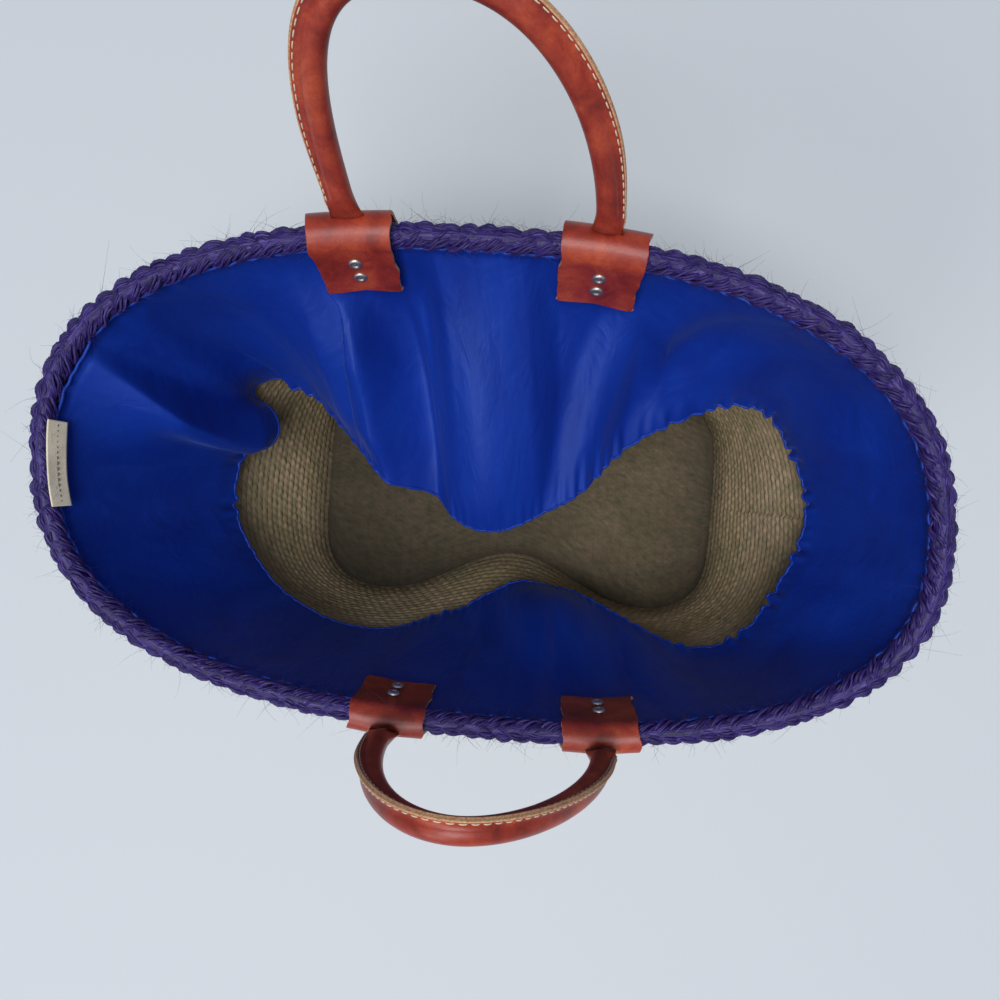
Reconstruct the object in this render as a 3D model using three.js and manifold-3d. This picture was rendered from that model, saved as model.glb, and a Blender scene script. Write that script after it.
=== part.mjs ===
// Woven tote bag: fibre body, plaited rim, satin lining, rolled leather handles.
// Units are millimetres. +Z is up, +X runs along the bag, +Y points to its back.
// The origin is the centre of the underside of the base.

import * as THREE from 'three';
import { mergeVertices } from 'three/addons/utils/BufferGeometryUtils.js';
import Module from 'manifold-3d';

// Base panel
const baseHalfLength = 175;
const baseHalfDepth = 106;
const baseSquareness = 4.6;
const basePinch = 0.46;
const basePinchWidth = 75;
const baseThickness = 5;

// Mouth of the bag, measured over the rim braid
const mouthHalfLength = 270;
const mouthHalfDepth = 149;
const mouthSquareness = 2.44;
const mouthHeight = 260;
const mouthTilt = THREE.MathUtils.degToRad(9);
const mouthTaper = -0.04;
const mouthShear = -0.075;
const mouthOffset = -15;

// Wall and rim braid
const wallThickness = 5;
const wallBelly = 0.15;
const wallBellySlouch = 0.65;
const braidDiameter = 16;

// Satin lining: how far it hangs, and the opening that its gathered hem leaves
const liningThickness = 1.2;
const liningInset = 6.2;
const hemHeight = 135;
const hemRise = 20;
const hemSlope = 15;
const hemHalfLength = 212;
const hemHalfDepth = 130;
const hemSquareness = 2.67;
const hemOffsetX = -7;
const hemOffsetY = 4;
const hemSkew = -0.021;
const hemBackPinch = 1.226;
const hemBackPinchWidth = 144;
const hemBackPinchX = -22;
const hemFrontPinch = 0.397;
const hemFrontPinchWidth = 91;
const hemFrontPinchX = 30;
const hemFrontDip = 55;
const liningSag = 1.7;
const foldDepth = 14;

// Main folds: two ridges beside the middle of the back, one long fold at the left end
const folds = [
  { turn: 1.57, width: 0.2 },
  { turn: 2.75, width: 0.16 },
  { turn: -1.25, width: 0.2 },
];

// Leather tabs that hold the handles
const tabWidth = 46;
const tabLeaf = 40;
const tabThickness = 2.2;
const tabPressMargin = 2;

// Handles
const handleHeight = 122;
const frontLegSpacing = 130;
const frontShift = 7;
const frontSlump = -9;
const frontSquareness = 1.9;
const frontLean = THREE.MathUtils.degToRad(-1);
const backLegSpacing = 139;
const backShift = 1;
const backSlump = -21;
const backSquareness = 2.5;
const backLean = THREE.MathUtils.degToRad(31);
const slumpCurve = 1.5;
const handleDiameter = 12.5;
const coverThickness = 1.8;
const finHeight = 4.2;
const finRoot = 0.4;
const finThickness = 3.4;
const finTwist = THREE.MathUtils.degToRad(50);
const neckFlat = 4;
const neckLength = 14;
const neckWidth = 18;
const neckThickness = 4;
const endLength = 34;
const endThickness = 2.4;
const endGap = 0.9;
const pivotOut = 7;
const pivotUp = 15;
const slotStart = 3.2;
const slotMargin = 1;

// Rivets
const rivetHeadDiameter = 8;
const rivetHeadHeight = 1.3;
const rivetShankDiameter = 3;
const rivetFirstDepth = 11;
const rivetSpacing = 13;

// Label
const labelLength = 54;
const labelHeight = 13;
const labelThickness = 0.8;
const labelTop = 4;
const labelClearance = 0.8;

// Clearances and mesh fineness
const clearance = 0.3;
const seam = 0.3;
const ringSteps = 72;
const wallRows = 6;
const liningColumns = 42;
const liningRows = 7;
const labelSpans = 6;
const tabSpans = 4;
const wrapSteps = 8;
const archSteps = 26;
const circleSides = 8;

const wasm = await Module();
wasm.setup();

const braidRadius = braidDiameter / 2;
const handleRadius = handleDiameter / 2;
const up = new THREE.Vector3(0, 0, 1);

const colours = {
  fibre: { color: 0x57503f, roughness: 0.85, metalness: 0 },
  braid: { color: 0x37305f, roughness: 0.8, metalness: 0 },
  satin: { color: 0x1c3391, roughness: 0.4, metalness: 0 },
  leather: { color: 0x8a3f34, roughness: 0.5, metalness: 0 },
  rope: { color: 0xb8a27c, roughness: 0.9, metalness: 0 },
  metal: { color: 0xa9a39a, roughness: 0.3, metalness: 1 },
  label: { color: 0xb3aa92, roughness: 0.7, metalness: 0 },
};

const bag = new THREE.Group();

function addMesh(name, geometry, finish, group = bag) {
  const mesh = new THREE.Mesh(geometry, new THREE.MeshStandardMaterial(colours[finish]));
  mesh.name = name;
  group.add(mesh);
  return mesh;
}

// Outlines and surfaces of the bag

const bell = (distance, width) => Math.exp(-((distance / width) ** 2));

// Smallest angle between two turns
const turnBetween = (a, b) => Math.abs(Math.atan2(Math.sin(a - b), Math.cos(a - b)));

// Distance from the middle to a squarish oval, in one direction
function ovalReach(turn, halfLength, halfDepth, squareness) {
  const along = Math.abs(Math.cos(turn) / halfLength) ** squareness;
  const across = Math.abs(Math.sin(turn) / halfDepth) ** squareness;
  return (along + across) ** (-1 / squareness);
}

function basePoint(turn) {
  const reach = ovalReach(turn, baseHalfLength, baseHalfDepth, baseSquareness);
  const x = reach * Math.cos(turn);
  const y = reach * Math.sin(turn) * (1 - basePinch * bell(x, basePinchWidth));
  return new THREE.Vector3(x, y, 0);
}

// Middle line of the rim braid
function rimPoint(turn) {
  const halfLength = mouthHalfLength - braidRadius;
  const halfDepth = mouthHalfDepth - braidRadius;
  const reach = ovalReach(turn, halfLength, halfDepth, mouthSquareness);
  const y = reach * Math.sin(turn);
  const x = reach * Math.cos(turn) * (1 + mouthTaper * y / mouthHalfDepth);
  return new THREE.Vector3(
    mouthOffset + x + mouthShear * y, y, mouthHeight + y * Math.tan(mouthTilt));
}

const wallTop = (turn) => rimPoint(turn).z - braidRadius - clearance;

function wallMiddle(turn, height) {
  const share = height / wallTop(turn);
  const belly = wallBelly - wallBellySlouch * Math.sin(turn);
  const bulged = share * (1 + belly * (1 - share));
  return basePoint(turn).lerp(rimPoint(turn), bulged).setZ(height);
}

// Level direction that points out of a closed outline
function outward(outline, turn) {
  const step = 0.002;
  const tangent = outline(turn + step).sub(outline(turn - step)).setZ(0).normalize();
  return new THREE.Vector3(tangent.y, -tangent.x, 0);
}

const rimOutward = (turn) => outward(rimPoint, turn);

function wallPoint(turn, height, offset) {
  const away = outward((angle) => wallMiddle(angle, height), turn);
  return wallMiddle(turn, height).addScaledVector(away, offset);
}

// How far the wall leans inwards, going down from the rim
function wallLean(turn) {
  const drop = tabLeaf / 2;
  const top = wallTop(turn);
  const slide = wallMiddle(turn, top).sub(wallMiddle(turn, top - drop)).setZ(0);
  return Math.atan(slide.dot(rimOutward(turn)) / drop);
}

// Point in the plane across the rim: distance out from the braid's middle, and up
function acrossRim(turn, out, rise) {
  return rimPoint(turn).addScaledVector(rimOutward(turn), out).addScaledVector(up, rise);
}

// Turn at which the rim's front or back stretch passes a given x
function turnAtX(side, x) {
  const halvings = 40;
  let low = 0.1;
  let high = Math.PI - low;
  for (let i = 0; i < halvings; i += 1) {
    const middle = (low + high) / 2;
    if (rimPoint(side * middle).x > x) low = middle;
    else high = middle;
  }
  return side * low;
}

// Closed bodies from rings of points

function loopTriangles(loop) {
  const normal = new THREE.Vector3();
  loop.forEach((point, i) => {
    normal.add(new THREE.Vector3().crossVectors(point, loop[(i + 1) % loop.length]));
  });
  normal.normalize();
  const hint = Math.abs(normal.z) < 0.7 ? up : new THREE.Vector3(1, 0, 0);
  const side = new THREE.Vector3().crossVectors(hint, normal).normalize();
  const other = new THREE.Vector3().crossVectors(normal, side);
  const flat = loop.map((point) => new THREE.Vector2(point.dot(side), point.dot(other)));
  return THREE.ShapeUtils.triangulateShape(flat, []);
}

function facesOut(positions, triangles) {
  let volume = 0;
  const [a, b, c] = [0, 1, 2].map(() => new THREE.Vector3());
  triangles.forEach((triangle) => {
    [a, b, c].forEach((corner, i) => corner.fromArray(positions, 3 * triangle[i]));
    volume += a.dot(b.cross(c));
  });
  return volume > 0;
}

// Skin over a run of equal loops; the run closes on itself or gets two end caps
function skin(loops, closed) {
  const sides = loops[0].length;
  const positions = loops.flat().flatMap((point) => point.toArray());
  const triangles = [];
  const spans = closed ? loops.length : loops.length - 1;
  for (let i = 0; i < spans; i += 1) {
    const next = (i + 1) % loops.length;
    for (let j = 0; j < sides; j += 1) {
      const k = (j + 1) % sides;
      const corners = [i * sides + j, i * sides + k, next * sides + k, next * sides + j];
      triangles.push([corners[0], corners[1], corners[2]], [corners[0], corners[2], corners[3]]);
    }
  }
  if (!closed) {
    const last = (loops.length - 1) * sides;
    loopTriangles(loops[0]).forEach(([p, q, r]) => triangles.push([p, r, q]));
    loopTriangles(loops.at(-1)).forEach((corners) => (
      triangles.push(corners.map((corner) => last + corner))));
  }
  if (!facesOut(positions, triangles)) triangles.forEach((triangle) => triangle.reverse());
  const geometry = new THREE.BufferGeometry();
  geometry.setAttribute('position', new THREE.Float32BufferAttribute(positions, 3));
  geometry.setIndex(triangles.flat());
  return geometry;
}

function toSolid(geometry) {
  const plain = geometry.clone();
  plain.deleteAttribute('normal');
  plain.deleteAttribute('uv');
  const merged = mergeVertices(plain);
  const mesh = new wasm.Mesh({
    numProp: 3,
    vertProperties: new Float32Array(merged.attributes.position.array),
    triVerts: new Uint32Array(merged.index.array),
  });
  return new wasm.Manifold(mesh);
}

function cut(geometry, tools) {
  const solid = tools.reduce((body, tool) => body.subtract(toSolid(tool)), toSolid(geometry));
  const mesh = solid.getMesh();
  const result = new THREE.BufferGeometry();
  result.setAttribute('position', new THREE.BufferAttribute(mesh.vertProperties, 3));
  result.setIndex(new THREE.BufferAttribute(mesh.triVerts, 1));
  return result;
}

const steps = (count, from, to) => Array.from(
  { length: count + 1 }, (_, i) => from + (to - from) * i / count);

const ringTurns = steps(ringSteps, 0, 2 * Math.PI).slice(0, -1);

// Handles, and their legs: one entry for each tab, with the places that its pieces share

const handles = [
  {
    name: 'front', side: -1, legSpacing: frontLegSpacing, squareness: frontSquareness,
    shift: frontShift, slump: frontSlump, lean: frontLean,
  },
  {
    name: 'back', side: 1, legSpacing: backLegSpacing, squareness: backSquareness,
    shift: backShift, slump: backSlump, lean: backLean,
  },
];

const hands = [{ name: 'left', way: -1 }, { name: 'right', way: 1 }];

function makeLeg(handle, hand) {
  const { side } = handle;
  const middle = rimPoint(side * Math.PI / 2).x + handle.shift;
  const x = middle + hand.way * handle.legSpacing / 2;
  const turn = turnAtX(side, x);
  const rim = rimPoint(turn);
  const pivot = new THREE.Vector3(x, rim.y + side * pivotOut, rim.z + pivotUp);
  return { name: `${handle.name}_${hand.name}`, side, x, turn, pivot, lean: wallLean(turn) };
}

const legs = handles.flatMap((handle) => hands.map((hand) => makeLeg(handle, hand)));

// Place beside the wall, in the plane across the rim: distance out from the wall's
// line, and depth below the braid along it
function alongWall(lean, out, depth) {
  return [
    out * Math.cos(lean) - depth * Math.sin(lean),
    -out * Math.sin(lean) - depth * Math.cos(lean),
  ];
}

function besideWall(leg, out, depth) {
  return acrossRim(leg.turn, ...alongWall(leg.lean, out, depth));
}

const innerWrap = braidRadius + clearance;
const outerWrap = braidRadius + 2 * clearance + endThickness;

// Rivet: domed head inside the bag, shank, flat head on the outer leaf
function rivetProfile(shankEnds) {
  const [inside, outside] = shankEnds;
  const head = rivetHeadDiameter / 2;
  const shank = rivetShankDiameter / 2;
  const height = rivetHeadHeight;
  const dome = [[0, 1], [0.55, 0.9], [0.9, 0.5]];
  const flat = [[1, 0.7], [0.8, 1], [0, 1]];
  return [
    ...dome.map(([out, rise]) => [head * out, inside - height * rise]),
    [head, inside - clearance], [shank, inside - clearance],
    [shank, outside + clearance], [head, outside + clearance],
    ...flat.map(([out, rise]) => [head * out, outside + height * rise]),
  ].map(([radius, along]) => new THREE.Vector2(radius, along));
}

const rivetReach = [-(innerWrap + tabThickness), outerWrap + tabThickness];

function placeRivet(geometry, leg, depth) {
  const seat = besideWall(leg, 0, depth);
  const axis = besideWall(leg, 1, depth).sub(seat).normalize();
  geometry.applyQuaternion(
    new THREE.Quaternion().setFromUnitVectors(new THREE.Vector3(0, 1, 0), axis));
  geometry.translate(...seat.toArray());
  return geometry;
}

const rivetDepths = [rivetFirstDepth, rivetFirstDepth + rivetSpacing];

function rivetHole(leg, depth) {
  const radius = rivetShankDiameter / 2 + 2 * clearance;
  const length = 4 * (rivetReach[1] - rivetReach[0]);
  return placeRivet(new THREE.CylinderGeometry(radius, radius, length, circleSides), leg, depth);
}

const rivetHoles = legs.map((leg) => rivetDepths.map((depth) => rivetHole(leg, depth)));

// Woven body

function makeBase() {
  const gap = wallThickness / 2 + clearance;
  const ring = (height) => ringTurns.map((turn) => (
    basePoint(turn).addScaledVector(outward(basePoint, turn), -gap).setZ(height)));
  return skin([ring(0), ring(baseThickness)], false);
}

function makeWall() {
  const half = wallThickness / 2;
  const loops = ringTurns.map((turn) => {
    const heights = steps(wallRows, 0, wallTop(turn));
    const outside = heights.map((height) => wallPoint(turn, height, half));
    const inside = heights.map((height) => wallPoint(turn, height, -half));
    return [...outside, ...inside.reverse()];
  });
  return cut(skin(loops, true), rivetHoles.flat());
}

function makeBraid() {
  const loops = ringTurns.map((turn) => (
    steps(circleSides, 0, 2 * Math.PI).slice(0, -1).map((angle) => (
      acrossRim(turn, braidRadius * Math.cos(angle), braidRadius * Math.sin(angle))))));
  return skin(loops, true);
}

// Satin lining

function hemPoint(turn) {
  const reach = ovalReach(turn, hemHalfLength, hemHalfDepth, hemSquareness);
  const along = reach * Math.cos(turn);
  const x = hemOffsetX + along;
  const isBack = Math.sin(turn) > 0;
  const frontBell = bell(x - hemFrontPinchX, hemFrontPinchWidth);
  const pinch = isBack
    ? hemBackPinch * bell(x - hemBackPinchX, hemBackPinchWidth)
    : hemFrontPinch * frontBell;
  const dip = isBack ? 0 : hemFrontDip * frontBell;
  return new THREE.Vector3(
    x,
    hemOffsetY + reach * Math.sin(turn) * (1 - pinch) + hemSkew * along,
    hemHeight + hemRise * Math.sin(turn) + hemSlope * Math.cos(turn) - dip);
}

// The tabs press the lining to the wall: 1 under a tab, 0 away from it
function pressed(turn) {
  const x = rimPoint(turn).x;
  const side = Math.sign(Math.sin(turn));
  return legs.filter((leg) => leg.side === side).reduce((sum, leg) => {
    const away = Math.abs(x - leg.x) - tabWidth / 2;
    return sum + 1 - THREE.MathUtils.smoothstep(away, tabPressMargin, tabWidth / 2);
  }, 0);
}

const liningFrontFace = liningInset - liningThickness / 2;
const liningDrop = Math.sqrt((braidRadius + clearance) ** 2 - liningFrontFace ** 2);

function liningMiddle(turn, share) {
  const start = rimPoint(turn).z - liningDrop;
  const hem = hemPoint(turn);
  const height = THREE.MathUtils.lerp(start, hem.z, share);
  const held = pressed(turn) * tabLeaf / (start - hem.z);
  const free = Math.max(0, (share - held) / (1 - held)) ** liningSag;
  const hemSeat = wallPoint(turn, hem.z, -liningInset).setZ(0);
  const pull = hem.clone().setZ(0).sub(hemSeat);
  const ridge = folds.reduce((sum, fold) => sum + bell(turnBetween(turn, fold.turn), fold.width), 0);
  const swell = foldDepth * ridge * Math.sin(Math.PI * Math.min(1, free));
  return wallPoint(turn, Math.min(height, wallTop(turn)), -liningInset - swell)
    .setZ(height).addScaledVector(pull, free);
}

// Point at a distance from the middle of the cloth, out towards the wall
function liningPoint(turn, share, offset) {
  const step = 0.01;
  const acrossCloth = liningMiddle(turn + step, share).sub(liningMiddle(turn - step, share));
  const low = Math.min(share + step, 1);
  const high = Math.max(share - step, 0);
  const downCloth = liningMiddle(turn, low).sub(liningMiddle(turn, high));
  const normal = downCloth.cross(acrossCloth).normalize();
  return liningMiddle(turn, share).addScaledVector(normal, offset);
}

function makeLining(side) {
  const ends = seam / 2 / mouthHalfLength;
  const turns = side > 0
    ? steps(liningColumns, ends, Math.PI - ends)
    : steps(liningColumns, -Math.PI + ends, -ends);
  const shares = steps(liningRows, 0, 1);
  const loops = turns.map((turn) => {
    const outside = shares.map((share) => liningPoint(turn, share, liningThickness / 2));
    const inside = shares.map((share) => liningPoint(turn, share, -liningThickness / 2));
    return [...outside, ...inside.reverse()];
  });
  const holes = rivetHoles.filter((_, i) => legs[i].side === side).flat();
  return cut(skin(loops, false), holes);
}

// Label: stands against the braid's inner side, at the bag's left end
function makeLabel() {
  const halfTurn = labelLength / 2 / (mouthHalfLength - braidRadius);
  const near = -(braidRadius + labelClearance);
  const far = near - labelThickness;
  const bottom = labelTop - labelHeight;
  const corners = [[near, labelTop], [far, labelTop], [far, bottom], [near, bottom]];
  const turns = steps(labelSpans, Math.PI - halfTurn, Math.PI + halfTurn);
  const loops = turns.map((turn) => corners.map(([out, rise]) => acrossRim(turn, out, rise)));
  return skin(loops, false);
}

// Leather tabs

// One face of a tab: inner leaf, wrap over the braid, outer leaf
function tabFace(lean, grow) {
  const wrap = steps(wrapSteps, Math.PI - lean, -lean).map((angle) => {
    const outside = Math.cos(angle / 2) ** 2;
    const radius = THREE.MathUtils.lerp(innerWrap, outerWrap, outside) + grow;
    return [radius * Math.cos(angle), radius * Math.sin(angle)];
  });
  return [
    alongWall(lean, -innerWrap - grow, tabLeaf), ...wrap,
    alongWall(lean, outerWrap + grow, tabLeaf),
  ];
}

// Body with a given profile across the rim, between two places along it
function acrossRimBody(leg, profile, width, spans) {
  const loops = steps(spans, leg.x - width / 2, leg.x + width / 2).map((x) => {
    const turn = turnAtX(leg.side, x);
    return profile.map(([out, rise]) => acrossRim(turn, out, rise));
  });
  return skin(loops, false);
}

// Strip along a path of places across the rim
function stripProfile(path, thickness) {
  return [
    ...path.map(([out, rise]) => [out - thickness / 2, rise]),
    ...path.map(([out, rise]) => [out + thickness / 2, rise]).reverse(),
  ];
}

const endMiddle = braidRadius + clearance + endThickness / 2;

function makeTab(leg, index) {
  const profile = [...tabFace(leg.lean, 0), ...tabFace(leg.lean, tabThickness).reverse()];
  const slotPath = [[endMiddle, slotStart], [pivotOut, pivotUp]];
  const slotProfile = stripProfile(slotPath, endThickness + 2 * slotMargin);
  const slot = acrossRimBody(leg, slotProfile, neckWidth + 2 * slotMargin, 1);
  return cut(acrossRimBody(leg, profile, tabWidth, tabSpans), [slot, ...rivetHoles[index]]);
}

// Flattened handle end: from below the rim, outside the braid, up to the pivot
function makeHandleEnd(leg, index) {
  const path = [
    alongWall(leg.lean, endMiddle, endLength), alongWall(leg.lean, endMiddle, 0),
    [endMiddle, 0], [pivotOut, pivotUp - neckThickness / 2 - endGap],
  ];
  return cut(
    acrossRimBody(leg, stripProfile(path, endThickness), neckWidth, 1), rivetHoles[index]);
}

// Rolled handles

class Arch extends THREE.Curve {
  constructor({ legSpacing, squareness, slump }) {
    super();
    this.halfSpacing = legSpacing / 2;
    this.squareness = squareness;
    this.slump = slump;
  }

  getPoint(share, target = new THREE.Vector3()) {
    const angle = Math.PI * share;
    const reach = ovalReach(angle, this.halfSpacing, handleHeight, this.squareness);
    const rise = Math.max(0, reach * Math.sin(angle));
    const slide = this.slump * (rise / handleHeight) ** slumpCurve;
    return target.set(slide - reach * Math.cos(angle), 0, rise);
  }
}

// Place on an arch at a distance from its left end; past the ends it runs straight on
function archFrame(arch, distance) {
  const length = arch.getLength();
  const share = THREE.MathUtils.clamp(distance / length, 0, 1);
  const along = arch.getTangentAt(share);
  if (share === 0 || share === 1) along.set(0, 0, share === 0 ? 1 : -1);
  const centre = arch.getPointAt(share).addScaledVector(along, distance - share * length);
  const awayFromHand = new THREE.Vector3(-along.z, 0, along.x);
  return { centre, awayFromHand, share };
}

// Section of the cover: a strip rolled round the core, its two edges laid side by side
function coverSection(roundness, fin, roundNose) {
  const nearlyAll = 0.98;
  const slit = clearance / 2;
  const halfWidth = THREE.MathUtils.lerp(neckWidth / 2, handleRadius, roundness);
  const halfHeight = THREE.MathUtils.lerp(neckThickness / 2, handleRadius, roundness) * roundNose;
  const bore = THREE.MathUtils.lerp(slit, handleRadius - coverThickness, roundness);
  const boreWidth = halfWidth - coverThickness;
  const finHalf = Math.min(finThickness / 2, halfHeight * nearlyAll);
  const leafStart = Math.asin(finHalf / halfHeight);
  const boreStart = Math.asin(Math.min(nearlyAll, slit / bore));
  const tip = halfWidth + fin;
  const outer = steps(circleSides + 2, leafStart, 2 * Math.PI - leafStart).map((angle) => (
    [halfWidth * Math.cos(angle), halfHeight * Math.sin(angle)]));
  const inner = steps(circleSides, 2 * Math.PI - boreStart, boreStart).map((angle) => (
    [boreWidth * Math.cos(angle), bore * Math.sin(angle)]));
  return [[tip, finHalf], ...outer, [tip, -finHalf], [tip, -slit], ...inner, [tip, slit]];
}

function handleGroup(handle) {
  const [left, right] = legs.filter((leg) => leg.side === handle.side);
  const group = new THREE.Group();
  group.position.copy(left.pivot).lerp(right.pivot, 0.5);
  group.rotation.x = -handle.side * handle.lean;
  bag.add(group);
  return group;
}

function makeCover(handle) {
  const arch = new Arch(handle);
  const length = arch.getLength();
  const nose = neckThickness / 2;
  const noseReach = [0.93, 0.7, 0.35].map((share) => share * nose);
  const stations = [
    ...noseReach.map((reach) => -reach), 0,
    ...steps(archSteps, neckFlat, length - neckFlat),
    length, ...noseReach.map((reach) => length + reach).reverse(),
  ];
  const insideBag = new THREE.Vector3(0, -handle.side, 0);
  const loops = stations.map((distance) => {
    const { centre, awayFromHand, share } = archFrame(arch, distance);
    const fromEnd = Math.min(distance, length - distance);
    const roundness = THREE.MathUtils.smoothstep(fromEnd, neckFlat, neckLength);
    const roundNose = fromEnd < 0 ? Math.sqrt(1 - (fromEnd / nose) ** 2) : 1;
    const fin = finHeight * THREE.MathUtils.smoothstep(fromEnd, neckFlat, neckLength);
    const twist = finTwist * Math.sin(Math.PI * share) ** 2;
    const finWay = awayFromHand.clone().multiplyScalar(Math.cos(twist))
      .addScaledVector(insideBag, Math.sin(twist));
    const acrossFin = insideBag.clone().multiplyScalar(Math.cos(twist))
      .addScaledVector(awayFromHand, -Math.sin(twist));
    return coverSection(roundness, fin + finRoot, roundNose).map(([a, b]) => (
      centre.clone().addScaledVector(finWay, a).addScaledVector(acrossFin, b)));
  });
  return skin(loops, false);
}

function makeCore(handle) {
  const arch = new Arch(handle);
  const length = arch.getLength();
  const radius = handleRadius - coverThickness - 2 * clearance;
  const stations = steps(archSteps, 0, length).filter((distance) => (
    distance > neckLength && distance < length - neckLength));
  const loops = stations.map((distance) => {
    const { centre, awayFromHand } = archFrame(arch, distance);
    return steps(circleSides, 0, 2 * Math.PI).slice(0, -1).map((angle) => (
      centre.clone().addScaledVector(awayFromHand, radius * Math.cos(angle))
        .add(new THREE.Vector3(0, radius * Math.sin(angle), 0))));
  });
  return skin(loops, false);
}

// Assembly

addMesh('woven_base', makeBase(), 'fibre');
addMesh('woven_wall', makeWall(), 'fibre');
addMesh('rim_braid', makeBraid(), 'braid');
addMesh('lining_front_panel', makeLining(-1), 'satin');
addMesh('lining_back_panel', makeLining(1), 'satin');
addMesh('side_label', makeLabel(), 'label');

handles.forEach((handle) => {
  const group = handleGroup(handle);
  addMesh(`handle_${handle.name}_cover`, makeCover(handle), 'leather', group);
  addMesh(`handle_${handle.name}_core`, makeCore(handle), 'rope', group);
});

legs.forEach((leg, index) => {
  addMesh(`handle_end_${leg.name}`, makeHandleEnd(leg, index), 'leather');
  addMesh(`tab_${leg.name}`, makeTab(leg, index), 'leather');
  rivetDepths.forEach((depth, row) => {
    const turned = new THREE.LatheGeometry(rivetProfile(rivetReach), circleSides);
    const rivet = placeRivet(turned, leg, depth);
    addMesh(`rivet_${leg.name}_${row === 0 ? 'upper' : 'lower'}`, rivet, 'metal');
  });
});

export default bag;
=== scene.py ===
"""Woven tote bag: the looks of its fibre body, plaited rim, satin lining and leather handles.

Sizes are in millimetres, in the part's own frame, and become metres when a mesh is made.
"""
from math import asin, atan, cos, pi, radians, sin, sqrt, tan, tau

import bmesh
import bpy
import numpy as np
from mathutils import Matrix, Vector


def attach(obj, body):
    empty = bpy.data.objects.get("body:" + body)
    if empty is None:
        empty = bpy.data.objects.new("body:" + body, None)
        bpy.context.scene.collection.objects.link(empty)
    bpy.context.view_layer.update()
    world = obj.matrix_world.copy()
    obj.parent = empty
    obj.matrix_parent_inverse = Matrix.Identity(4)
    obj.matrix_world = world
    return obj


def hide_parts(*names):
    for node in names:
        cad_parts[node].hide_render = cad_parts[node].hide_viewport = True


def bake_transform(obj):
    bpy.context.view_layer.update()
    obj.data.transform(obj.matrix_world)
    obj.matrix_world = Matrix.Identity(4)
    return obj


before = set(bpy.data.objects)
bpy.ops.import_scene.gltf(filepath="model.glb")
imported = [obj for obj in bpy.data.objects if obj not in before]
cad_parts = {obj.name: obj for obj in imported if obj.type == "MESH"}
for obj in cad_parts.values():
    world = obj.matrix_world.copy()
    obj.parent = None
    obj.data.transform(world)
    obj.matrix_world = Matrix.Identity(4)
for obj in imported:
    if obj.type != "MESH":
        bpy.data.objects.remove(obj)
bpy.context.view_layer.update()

MM = 0.001
UP = np.array([0.0, 0.0, 1.0])
random = np.random.default_rng(11)

# Base panel
BASE_HALF_LENGTH = 175
BASE_HALF_DEPTH = 106
BASE_SQUARENESS = 4.6
BASE_PINCH = 0.46
BASE_PINCH_WIDTH = 75
BASE_THICKNESS = 5

# Mouth, measured over the rim braid
MOUTH_HALF_LENGTH = 270
MOUTH_HALF_DEPTH = 149
MOUTH_SQUARENESS = 2.44
MOUTH_HEIGHT = 260
MOUTH_TILT = radians(9)
MOUTH_TAPER = -0.04
MOUTH_SHEAR = -0.075
MOUTH_OFFSET = -15

# Wall and rim braid
WALL_THICKNESS = 5
WALL_BELLY = 0.15
WALL_BELLY_SLOUCH = 0.65
BRAID_RADIUS = 8

# Satin lining
LINING_INSET = 6.2
RIM_EDGE_DROP = 2.4
RIM_EDGE_TUCK = 0.7
HEM_HEIGHT = 135
HEM_RISE = 20
HEM_SLOPE = 15
HEM_HALF_LENGTH = 212
HEM_HALF_DEPTH = 130
HEM_SQUARENESS = 2.67
HEM_OFFSET_X = -7
HEM_OFFSET_Y = 4
HEM_SKEW = -0.021
HEM_BACK_PINCH = 1.226
HEM_BACK_PINCH_WIDTH = 144
HEM_BACK_PINCH_X = -22
HEM_FRONT_PINCH = 0.397
HEM_FRONT_PINCH_WIDTH = 91
HEM_FRONT_PINCH_X = 30
HEM_FRONT_DIP = 55
LINING_SAG = 1.7
FOLD_DEPTH = 14
FOLDS = ((1.57, 0.2), (2.75, 0.16), (-1.25, 0.2))

# Leather tabs and handles
TAB_WIDTH = 46
TAB_LEAF = 40
TAB_THICKNESS = 2.2
TAB_PRESS_MARGIN = 2
HANDLE_HEIGHT = 122
SLUMP_CURVE = 1.5
HANDLE_RADIUS = 6.25
FIN_HEIGHT = 4.2
FIN_THICKNESS = 2.8
NECK_LENGTH = 14
NECK_WIDTH = 18
NECK_THICKNESS = 4
END_LENGTH = 34
END_THICKNESS = 2.4
PIVOT_OUT = 7
PIVOT_UP = 15
HANDLES = {
    "front": dict(side=-1, spacing=130, squareness=1.9, shift=7, slump=-9, lean=radians(-1),
                  twist=radians(50)),
    "back": dict(side=1, spacing=139, squareness=2.5, shift=1, slump=-21, lean=radians(31),
                 twist=radians(15)),
}

# Rivets and label
RIVET_RADIUS = 4
RIVET_HEIGHT = 1.3
RIVET_DEPTHS = (11, 24)
LABEL_LENGTH = 54
LABEL_HEIGHT = 13
LABEL_TOP = 5.6
LABEL_OUT = -10.6
LABEL_SLANT = 4.4
LABEL_SEAM = 0.5
LABEL_THICKNESS = 0.7

CLEARANCE = 0.3


# Meshes from grids of points

def add_object(name, data):
    item = bpy.data.objects.new(name, data)
    bpy.context.scene.collection.objects.link(item)
    return item


def spread(rows, columns):
    return np.meshgrid(rows, columns, indexing="ij")


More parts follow.
